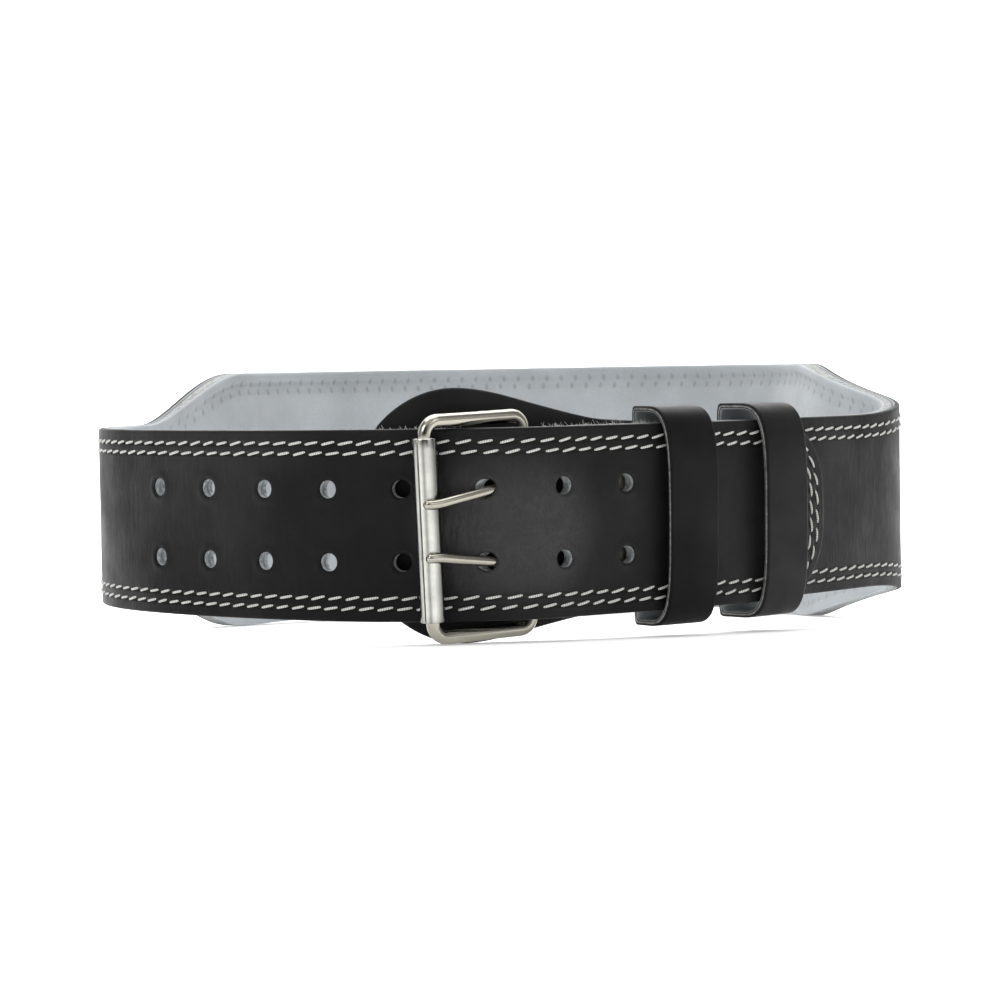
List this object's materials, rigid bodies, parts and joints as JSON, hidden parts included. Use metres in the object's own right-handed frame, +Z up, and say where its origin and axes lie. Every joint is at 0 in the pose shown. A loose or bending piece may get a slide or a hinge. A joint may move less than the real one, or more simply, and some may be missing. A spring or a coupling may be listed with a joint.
{
  "type": "weightlifting belt",
  "caption": "Buckled leather weightlifting belt: straps flaring into a tall padded lumbar panel, prong buckle with a roller over a leather flap, keepers and a punched tongue.",
  "frame": {"origin": "middle of the bounding box's bottom face, on the surface the belt rests on", "axes": "+Z up out of the loop, -Y towards the buckle at the front, +X to the right as seen from the front, where the tongue's end points"},
  "size_m": [0.2988, 0.3292, 0.1056],
  "materials": {
    "black_leather": "satin, finely grained",
    "suede": "napped, matt",
    "flap_leather": "matt, slightly napped",
    "nickel": "polished nickel plate",
    "rivet_metal": "dull polished",
    "label_tape": "matt woven tape, blank"
  },
  "bodies": {
    "root": {"outer_leather": "black_leather", "suede_lining": "suede", "buckle_flap": "flap_leather", "buckle_frame": "nickel", "roller": "nickel", "prong_upper": "nickel", "prong_lower": "nickel", "keeper_front": "black_leather", "keeper_rear": "black_leather", "rivet_first_upper": "rivet_metal", "rivet_first_lower": "rivet_metal", "rivet_second_upper": "rivet_metal", "rivet_second_lower": "rivet_metal", "keeper_rivet": "nickel", "blank_tab": "label_tape"}
  },
  "joints": []
}
